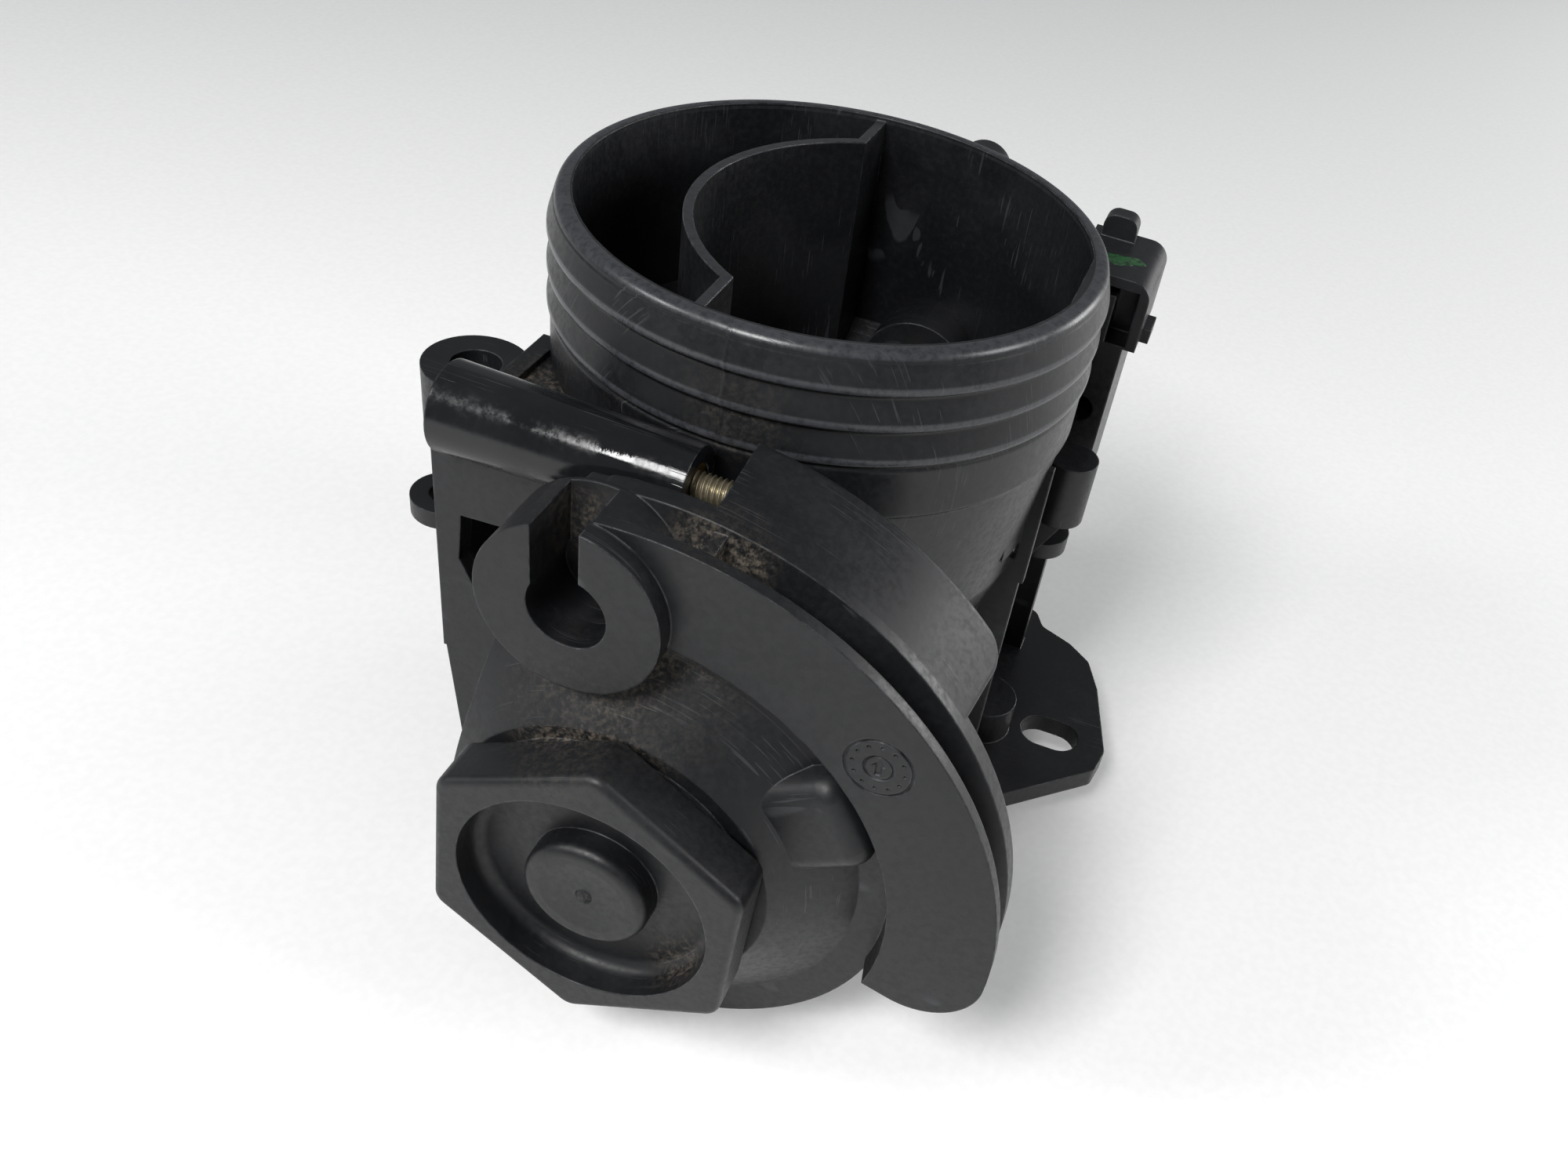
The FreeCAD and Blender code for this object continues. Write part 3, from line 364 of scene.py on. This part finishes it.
def turned_metal(name, base, roughness, grime, mark_turn=(0, 0, 0), mark_mm=0.25, grime_mm=3.0, metallic=1.0):
    """Metal bar or sheet: fine tool marks break its shine, and patches of grime dull it."""
    material, tree, place = new_material(name)
    marks = streaks(tree, place, mark_turn, 9.0, mark_mm)
    blot = patches_of(tree, place, grime_mm, 4.0, 0.42, 0.64, rough=0.65)
    lined = add(tree, RANGE, {0: marks, 1: 0.35, 2: 0.65, 4: 0.35}, **SOFT)
    tone = add(tree, MIX, {0: lined, 6: rgba(base), 7: rgba(base, 0.6)}, 2, **COLOUR)
    soiled = add(tree, MATH, {0: blot, 1: 0.65}, operation="MULTIPLY")
    tone = add(tree, MIX, {0: soiled, 6: tone, 7: rgba(grime)}, 2, **COLOUR)
    low, high = roughness - 0.06, roughness + 0.10
    matt = add(tree, RANGE, {0: marks, 1: 0.3, 2: 0.7, 3: low, 4: high}, **SOFT)
    matt = add(tree, MATH, {0: blot, 1: 0.25, 2: matt}, operation="MULTIPLY_ADD", use_clamp=True)
    rounded, _ = edges(tree, 0.15)
    bump = add(tree, "ShaderNodeBump",
               {"Strength": 0.3, "Distance": 0.03 * MM, "Height": marks, "Normal": rounded})
    close_material(tree, Base_Color=tone, Roughness=matt, Normal=bump, Metallic=metallic)
    return material


def moulded_rubber(name, base, roughness, bloom):
    """Moulded elastomer or plain plastic: matt, with a pale bloom and a soft orange-peel skin."""
    material, tree, place = new_material(name)
    peel = grain(tree, place, 0.7, 2.0)
    bloomed = patches_of(tree, place, 4.0, 3.0, 0.45, 0.70, most=0.5)
    tone = add(tree, MIX, {0: bloomed, 6: rgba(base), 7: rgba(bloom)}, 2, **COLOUR)
    low, high = roughness - 0.08, roughness + 0.10
    matt = add(tree, RANGE, {0: peel, 1: 0.3, 2: 0.7, 3: low, 4: high}, **SOFT)
    bump = add(tree, "ShaderNodeBump", {"Strength": 0.3, "Distance": 0.05 * MM, "Height": peel})
    close_material(tree, Base_Color=tone, Roughness=matt, Normal=bump, IOR=1.50)
    return material


def dress(material, *names):
    """Puts the material in every slot of the named CAD nodes."""
    for name in names:
        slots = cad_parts[name].data.materials
        if len(slots) == 0:
            slots.append(material)
        for index in range(len(slots)):
            slots[index] = material


# ------------------------------------------------------------------- operators

class THROTTLE_OT_mouldings(bpy.types.Operator):
    """Give the nylon mouldings their satin, dusty, edge-worn finish"""
    bl_idname = "throttle.mouldings"
    bl_label = "Nylon mouldings"

    def execute(self, context):
        colours = context.scene.throttle_colours
        housing = moulded_nylon(
            "glass_filled_nylon_housing", colours, 0.42,
            dust_spots=[((-33, -30, 68), 4, 12), ((8, -40, 72), 3, 10), ((-10, -38, 66), 4, 12)],
            gloss_spots=[((-27, -44, 77), 6, 9), ((-14, -44, 77), 6, 9), ((-3, -44, 77), 6, 9)],
            # Painted highlight: a faint pale line along the top of the inner arc wall.
            painted_highlight_bands=[(RIM_TOP - 0.6, 0.15, 0.15)])
        quadrant = moulded_nylon(
            "glass_filled_nylon_quadrant", colours, 0.44,
            dust_spots=[((-8, -61, 53), 4, 12), ((5, -58, 56), 3, 11), ((12, -66, 20), 2, 7),
                        ((-8, -57, 73), 3, 8), ((8, -54, 77), 3, 8), ((-4, -68, 50.5), 2, 9)])
        sensor = moulded_nylon("glass_filled_nylon_sensor", colours, 0.38,
                               dust_spots=[((36, 24, 60), 3, 12)])
        natural = moulded_rubber("natural_nylon", hex_linear("CFC6A8"), 0.42, hex_linear("B5A987"))
        grey = moulded_rubber("grey_acetal_probe", hex_linear("5B5A55"), 0.45, hex_linear("75705F"))
        dress(housing, "throttle_housing")
        dress(quadrant, "cable_quadrant")
        dress(sensor, "sensor_housing", "sensor_cover")
        dress(natural, "spring_sleeve", "sensor_rotor")
        dress(grey, "air_probe")
        return {"FINISHED"}


class THROTTLE_OT_metals(bpy.types.Operator):
    """Give the shaft, plate, bushes, spring and fixings their metal finishes"""
    bl_idname = "throttle.metals"
    bl_label = "Metal parts"

    def execute(self, context):
        colours = context.scene.throttle_colours
        oil, soot, tarnish = hex_linear("2B2620"), hex_linear("3A2F20"), hex_linear("6C6250")
        dark_steel = tuple(0.45 * v for v in colours.steel)
        across = (0, 0, math.pi / 2)
        # Turned steel shines in rings; the spring's drawn wire is darker under its oil.
        steel = turned_metal("turned_steel", colours.steel, 0.32, oil, across, 0.20)
        spring = turned_metal("oiled_spring_steel", dark_steel, 0.36, oil, (0, 0, 0.4), 0.30)
        # Rolled brass keeps its yellow only where the intake's soot has not settled.
        brass = turned_metal("sooty_rolled_brass", colours.brass, 0.34, soot, (0, 0, 0.15), 0.35, 7.0)
        # Sintered bronze is grainy and nearly matt; the tinned pins stay bright.
        bronze = turned_metal("sintered_bronze", colours.bronze, 0.50, oil, (0, 0, 0), 0.6, 1.2)
        tin = turned_metal("tinned_bronze", hex_linear("B9B6AC"), 0.30, tarnish, across, 0.20)
        dress(steel, "throttle_shaft", "plate_screws", "thrust_washer", "shaft_clip", "sensor_screws")
        dress(spring, "return_spring")
        dress(brass, "throttle_plate", "stop_screw_insert", "sensor_inserts")
        dress(bronze, "shaft_bush_front", "shaft_bush_rear", "sensor_wiper")
        dress(tin, "sensor_terminals")
        return {"FINISHED"}


class THROTTLE_OT_seals(bpy.types.Operator):
    """Give the seals and the resistor board their finishes"""
    bl_idname = "throttle.seals"
    bl_label = "Seals and board"

    def execute(self, context):
        colours = context.scene.throttle_colours
        nitrile = moulded_rubber("nitrile_rubber", colours.rubber, 0.58, hex_linear("2A2A29"))
        silicone = moulded_rubber("moulded_silicone", colours.silicone, 0.50, hex_linear("37604F"))
        ceramic = moulded_rubber("fired_ceramic_board", colours.ceramic, 0.35, hex_linear("3D4A3A"))
        dress(nitrile, "shaft_seal_front", "shaft_seal_rear", "sensor_seal", "probe_seal")
        dress(silicone, "base_gasket")
        dress(ceramic, "sensor_track")
        return {"FINISHED"}


class THROTTLE_OT_neck_skin(bpy.types.Operator):
    """Wrap the inlet neck in a skin with soft hose barbs, a rolled rim and its mould seam"""
    bl_idname = "throttle.neck_skin"
    bl_label = "Neck skin"

    def execute(self, context):
        """Radius is a function of height and angle.

        The outline in height is the taper, the step, the plain band and three barbs, each a steep lower
        flank, a narrow crest and a long slope back to the next root, smoothed over 0.25 mm. In angle, a
        bell-shaped ridge stands at the front and back seams, and the two mould halves differ there by a
        third of the ridge. The rim closes over the wall's top and the skin returns inside the wall.
        """
        sizes = context.scene.throttle_sizes
        proud = sizes.skin_proud / MM
        z = np.linspace(RIM_TOP - 44.6, RIM_TOP - 1.5, 240)
        marks = [(RIM_TOP - 45, 33.6), (RIM_TOP - 23.05, 36.3), (RIM_TOP - 22.95, BAND_RADIUS),
                 (BARB_HEIGHTS[0] - 0.85, BAND_RADIUS)]
        for height in BARB_HEIGHTS:
            marks += [(height - 0.45, BARB_ROOT), (height - 0.05, BARB_CREST), (height + 0.80, BARB_CREST)]
        marks += [(RIM_TOP - 1.4, 36.44)]
        heights, radii = zip(*marks)
        outline = smoothed(np.interp(z, heights, radii), 1.1) + proud
        turn = np.linspace(0, math.pi / 2, 14)
        roll_r = 35.0 + 1.45 * np.cos(turn)
        roll_z = RIM_TOP - 1.4 + (1.4 + proud) * np.sin(turn)
        inner_r = np.array([34.6, 34.35, 34.3, 33.9, 33.2, 33.2])
        inner_z = RIM_TOP + np.array([proud, proud - 0.05, -0.4, -30, -44.0, -44.6])
        radius = np.concatenate([outline, roll_r, inner_r])
        height = np.concatenate([z, roll_z, inner_z])
        shown = np.concatenate([np.ones(len(z)), np.cos(turn), np.zeros(len(inner_r))])

        around = np.linspace(-math.pi, math.pi, sizes.neck_segments, endpoint=False)
        extra = np.linspace(-0.022, 0.022, 23)
        around = np.unique(np.concatenate([around, -math.pi / 2 + extra, math.pi / 2 + extra]).round(7))
        ridge = np.zeros_like(around)
        for seam in (-math.pi / 2, math.pi / 2):
            off = (around - seam) * 37.0 * MM
            ridge += sizes.seam_height / MM * np.exp(-(off / sizes.seam_width) ** 2)
        half = 0.04 * np.tanh(np.cos(around) * 60.0)
        full = radius[:, None] + shown[:, None] * (ridge + half)[None, :]
        points = np.stack([full * np.cos(around), full * np.sin(around),
                           np.repeat(height[:, None], len(around), axis=1)], axis=-1) * MM
        # Painted highlight: pale lines along the three barb crests and along the rim's top stand in for their
        # highlights.
        finish = moulded_nylon("glass_filled_nylon_neck", context.scene.throttle_colours, 0.36,
                               dust_spots=[((2, -37, 82), 2, 9), ((-14, -35, 70), 2, 9)],
                               painted_highlight_bands=[(height + 0.5, 0.35, 0.40) for height in BARB_HEIGHTS]
                               + [(RIM_TOP - 0.3, 0.40, 0.30)])
        skin = mesh_object("neck_skin", points, grid_faces(len(radius), len(around), True, True), finish)
        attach(skin, "housing")
        return {"FINISHED"}


class THROTTLE_OT_stop_screw(bpy.types.Operator):
    """Make the stop screw with a true helical thread and a driver slot"""
    bl_idname = "throttle.stop_screw"
    bl_label = "Stop screw"

    def execute(self, context):
        """Radius is core plus depth times a triangle wave of (distance over pitch less angle over one turn).

        Both ends are chamfered by capping the radius at the distance to the end. The left end is a disc
        whose points drop by the slot's depth where they lie within its half-width of the centre line.
        """
        sizes = context.scene.throttle_sizes
        pitch, depth = sizes.thread_pitch / MM, sizes.thread_depth / MM
        crest = 1.99
        x = np.arange(SCREW_START, SCREW_TIP, 0.07)
        angle = np.linspace(0, 2 * math.pi, 48, endpoint=False)
        along, around = np.meshgrid(x, angle, indexing="ij")
        wave = np.abs(((along - SCREW_START) / pitch - around / (2 * math.pi)) % 1.0 * 2 - 1)
        radius = crest - depth + depth * np.clip(wave * 1.25 - 0.10, 0, 1)
        reach = np.minimum(along - SCREW_START, SCREW_TIP - along)
        radius = np.minimum(radius, crest - 0.55 + reach)
        wall = np.stack([along, radius * np.cos(around), radius * np.sin(around)], axis=-1)

        share = np.linspace(0.0, 1.0, 26)[:, None]
        first = share * radius[0][None, :]
        side = np.abs(first * np.cos(angle))
        drop = 1.1 * (1 - np.clip((side - 0.36) / 0.08, 0, 1))
        face = SCREW_START + drop * (share < 0.999)
        left = np.stack([face, first * np.cos(angle), first * np.sin(angle)], axis=-1)
        last = share[::-1] * radius[-1][None, :]
        right = np.stack([np.full_like(last, SCREW_TIP), last * np.cos(angle), last * np.sin(angle)], axis=-1)
        points = np.concatenate([left, wall, right]) + np.array([0, *SCREW_CENTRE])
        colours = context.scene.throttle_colours
        # Yellow passivation over zinc: a dull straw sheen with dust caught in the thread.
        finish = turned_metal("yellow_zinc_steel", colours.zinc, 0.42, colours.dust,
                              mark_mm=0.30, grime_mm=0.9, metallic=0.85)
        faces = grid_faces(len(points), len(angle), close_cols=True)
        screw = mesh_object("stop_screw_thread", points * MM, faces, finish)
        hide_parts("stop_screw")
        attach(screw, "idle_screw")
        return {"FINISHED"}


class THROTTLE_OT_hub_gate(bpy.types.Operator):
    """Make the broken moulding gate in the dimple of the hub's button"""
    bl_idname = "throttle.hub_gate"
    bl_label = "Hub gate"

    def execute(self, context):
        """Height over the disc is a low dome times one plus three sine waves in angle and radius."""
        share = np.linspace(0, 1, 15)[:, None]
        angle = np.linspace(0, 2 * math.pi, 40, endpoint=False)[None, :]
        lumps = 0.30 * np.sin(3 * angle + 7 * share) + 0.22 * np.sin(5 * angle - 11 * share)
        lumps = lumps + 0.16 * np.sin(11 * angle)
        radius = 1.15 * share * (1 + 0.12 * np.sin(4 * angle) * share)
        rise = 0.62 * (1 - share ** 2) * (1 + lumps * share) + 0.02
        x, z = radius * np.cos(angle), radius * np.sin(angle)
        front = np.stack([x, -rise, z], axis=-1)
        back = np.stack([x, np.full_like(radius, 0.35), z], axis=-1)[::-1]
        points = np.concatenate([front, back]) + np.array([0, HUB_FRONT + 1.25, SHAFT_HEIGHT])
        finish = moulded_nylon("torn_nylon_gate", context.scene.throttle_colours, 0.70,
                               dust_spots=[((0, HUB_FRONT, SHAFT_HEIGHT), 2, 3)])
        gate = mesh_object("hub_gate", points * MM, grid_faces(30, 40, close_cols=True), finish)
        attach(gate, "throttle")
        return {"FINISHED"}


class THROTTLE_OT_paint_dab(bpy.types.Operator):
    """Lay the inspector's dab of green paint on the plug housing"""
    bl_idname = "throttle.paint_dab"
    bl_label = "Paint dab"

    def execute(self, context):
        """Edge radius is the mean plus three sine waves in angle, stretched by a quarter along X.

        The height is a flat dome, the root of one less the share of the radius squared, with a ripple.
        """
        sizes = context.scene.throttle_sizes
        mean = sizes.paint_radius / MM
        share = np.linspace(0, 1, 16)[:, None]
        angle = np.linspace(0, 2 * math.pi, 72, endpoint=False)[None, :]
        lobes = 0.20 * np.sin(2 * angle + 0.6) + 0.14 * np.sin(3 * angle) + 0.09 * np.sin(7 * angle + 1.0)
        edge = mean * (1 + lobes)
        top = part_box("sensor_housing")[1].z / MM - 3.6
        rise = 0.10 * np.sqrt(np.clip(1 - share ** 2, 0, 1)) * (1 + 0.25 * np.sin(3 * angle + 5 * share))
        centre = np.array([35.2, 30.0, top])
        along, across = 1.25 * edge * share * np.cos(angle), 0.85 * edge * share * np.sin(angle)
        upper = np.stack([along, across, rise], axis=-1)
        lower = upper[::-1] * np.array([1, 1, 0]) - np.array([0, 0, 0.05])
        points = np.concatenate([upper, lower]) + centre
        material, tree, place = new_material("brushed_enamel_green")
        # Thin enamel brushed on by hand: it lets the nylon through in its thin places.
        colours = context.scene.throttle_colours
        thin = patches_of(tree, place, 0.8, 4.0, 0.45, 0.62, rough=0.7)
        bare = add(tree, MATH, {0: thin, 1: 0.8}, operation="MULTIPLY")
        tone = add(tree, MIX, {0: bare, 6: rgba(colours.paint), 7: rgba(colours.nylon)}, 2, **COLOUR)
        matt = add(tree, RANGE, {0: thin, 3: 0.30, 4: 0.48}, **SOFT)
        close_material(tree, Base_Color=tone, Roughness=matt, IOR=1.50)
        dab = mesh_object("paint_dab", points * MM, grid_faces(32, 72, close_cols=True), material)
        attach(dab, "housing")
        return {"FINISHED"}


class THROTTLE_OT_cover_weld(bpy.types.Operator):
    """Run the weld bead round the sensor cover"""
    bl_idname = "throttle.cover_weld"
    bl_label = "Cover weld bead"

    def execute(self, context):
        """A circle of bead radius carried along a closed path inside the cover's edge.

        The path is an arc about the shaft from the top round to the arm, then the arm's three sides.
        The circle's radius swells and shrinks by a tenth along the path, as a hot weld does.
        """
        sizes = context.scene.throttle_sizes
        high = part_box("sensor_cover")[1]
        swing = np.radians(np.linspace(90, 364, 100))
        arc = np.stack([WELD_ARC * np.cos(swing), SHAFT_HEIGHT + WELD_ARC * np.sin(swing)], axis=-1)
        right, bottom, top = high.x / MM - WELD_INSET, SHAFT_HEIGHT + 1.1, high.z / MM - WELD_INSET
        corners = np.array([[right, bottom], [right, top], [WELD_INSET, top],
                            [WELD_INSET, arc[0, 1] + 0.8], arc[0]])
        sides = [arc]
        start = arc[-1]
        for corner in corners:
            steps = max(4, int(np.linalg.norm(corner - start) / 0.7))
            sides.append(start + (corner - start) * np.linspace(0, 1, steps + 1)[1:, None])
            start = corner
        path = np.concatenate(sides)[:-1]
        ahead = np.roll(path, -1, axis=0) - np.roll(path, 1, axis=0)
        ahead /= np.linalg.norm(ahead, axis=1)[:, None]
        side = np.stack([-ahead[:, 1], ahead[:, 0]], axis=-1)
        angle = np.linspace(0, 2 * math.pi, 12, endpoint=False)
        count = np.arange(len(path))
        bead = sizes.weld_radius / MM * (1 + 0.10 * np.sin(count * 1.7) + 0.06 * np.sin(count * 0.61))
        across = bead[:, None] * np.cos(angle)
        out = bead[:, None] * np.sin(angle) * 0.6
        points = np.stack([path[:, :1] + side[:, :1] * across, COVER_BACK + out,
                           path[:, 1:] + side[:, 1:] * across], axis=-1)
        finish = moulded_nylon("remelted_nylon_weld", context.scene.throttle_colours, 0.30)
        weld = mesh_object("cover_weld", points * MM, grid_faces(len(path), 12, True, True), finish)
        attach(weld, "housing")
        return {"FINISHED"}


class THROTTLE_OT_stage(bpy.types.Operator):
    """Set the floor, the soft lights and the camera"""
    bl_idname = "throttle.stage"
    bl_label = "Stage"

    def execute(self, context):
        scene = context.scene
        stage = scene.throttle_stage
        floor_z = CAD_BOX[0].z - 0.0002
        half = 1.6
        square = np.array([[-1, -1], [1, -1], [1, 1], [-1, 1]]) * half
        corners = np.column_stack([square, np.full(4, floor_z)])
        mesh = bpy.data.meshes.new("floor")
        mesh.from_pydata(corners, [], [(0, 1, 2, 3)])
        material, tree, place = new_material("matt_card_floor")
        # Matt card: a faint fibre keeps the pale ground from reading as an empty sheet.
        fibre = patches_of(tree, place, 1.5, 2.0, 0.3, 0.7)
        pale = scene.throttle_colours.floor
        tone = add(tree, MIX, {0: fibre, 6: rgba(pale), 7: rgba(pale, 0.97)}, 2, **COLOUR)
        close_material(tree, Base_Color=tone, Roughness=0.85)
        mesh.materials.append(material)
        floor = bpy.data.objects.new("floor", mesh)
        scene.collection.objects.link(floor)

        lights = [
            ("key_softbox", stage.key, 0.18, (-0.10, -0.40, 0.50)),
            ("back_softbox", stage.fill, 0.35, (0.72, 0.72, 0.26)),
            ("left_softbox", stage.side, 0.14, (-0.42, -0.30, 0.42)),
            ("right_softbox", stage.right, 0.30, (0.75, 0.05, 0.45)),
        ]
        for name, power, size, place_m in lights:
            data = bpy.data.lights.new(name, "AREA")
            data.energy, data.size = power, size
            light = bpy.data.objects.new(name, data)
            scene.collection.objects.link(light)
            aim = np.array([0, 0, 0.05]) - np.array(place_m)
            light.location = place_m
            light.rotation_euler = Vector(aim).to_track_quat("-Z", "Y").to_euler()

        world = bpy.data.worlds.new("even_sky")
        world.use_nodes = True
        background = world.node_tree.nodes["Background"]
        background.inputs["Color"].default_value = (*hex_linear("EEF1F5"), 1)
        background.inputs["Strength"].default_value = stage.sky
        scene.world = world
        scene.view_settings.view_transform = "Standard"

        azimuth, elevation, roll = map(math.radians, (CAMERA_AZIMUTH, CAMERA_ELEVATION, CAMERA_ROLL))
        back = np.array([math.sin(azimuth) * math.cos(elevation), -math.cos(azimuth) * math.cos(elevation),
                         math.sin(elevation)])
        level = np.array([math.cos(azimuth), math.sin(azimuth), 0.0])
        upward = np.cross(back, level)
        right = math.cos(roll) * level + math.sin(roll) * upward
        up = -math.sin(roll) * level + math.cos(roll) * upward
        data = bpy.data.cameras.new("camera")
        data.lens, data.sensor_width, data.sensor_fit = stage.lens, 36.0, "HORIZONTAL"
        data.shift_x, data.shift_y = CAMERA_SHIFT
        data.clip_start, data.clip_end = 0.01, 10.0
        camera = bpy.data.objects.new("camera", data)
        scene.collection.objects.link(camera)
        matrix = np.eye(4)
        matrix[:3, :3] = np.stack([right, up, back], axis=-1)
        matrix[:3, 3] = CAMERA_PLACE
        camera.matrix_world = Matrix(matrix.tolist())
        scene.camera = camera
        return {"FINISHED"}


OPERATORS = (
    THROTTLE_OT_mouldings, THROTTLE_OT_metals, THROTTLE_OT_seals, THROTTLE_OT_neck_skin,
    THROTTLE_OT_stop_screw, THROTTLE_OT_hub_gate, THROTTLE_OT_paint_dab, THROTTLE_OT_cover_weld,
    THROTTLE_OT_stage,
)


class THROTTLE_PT_panel(bpy.types.Panel):
    """Lists the settings and the steps in the order they run"""
    bl_idname = "THROTTLE_PT_panel"
    bl_label = "Throttle body"
    bl_space_type = "VIEW_3D"
    bl_region_type = "UI"
    bl_category = "Throttle"

    def draw(self, context):
        scene = context.scene
        for group in (scene.throttle_colours, scene.throttle_sizes, scene.throttle_stage):
            box = self.layout.box()
            for key in group.__annotations__:
                box.prop(group, key)
        for operator in OPERATORS:
            self.layout.operator(operator.bl_idname)


CLASSES = (ThrottleColours, ThrottleSizes, ThrottleStage, *OPERATORS, THROTTLE_PT_panel)


def register():
    for cls in CLASSES:
        bpy.utils.register_class(cls)
    bpy.types.Scene.throttle_colours = PointerProperty(type=ThrottleColours)
    bpy.types.Scene.throttle_sizes = PointerProperty(type=ThrottleSizes)
    bpy.types.Scene.throttle_stage = PointerProperty(type=ThrottleStage)


def unregister():
    del bpy.types.Scene.throttle_stage
    del bpy.types.Scene.throttle_sizes
    del bpy.types.Scene.throttle_colours
    for cls in reversed(CLASSES):
        bpy.utils.unregister_class(cls)


def main():
    register()
    for operator in OPERATORS:
        group, name = operator.bl_idname.split(".")
        getattr(getattr(bpy.ops, group), name)()


if __name__ == "__main__":
    main()
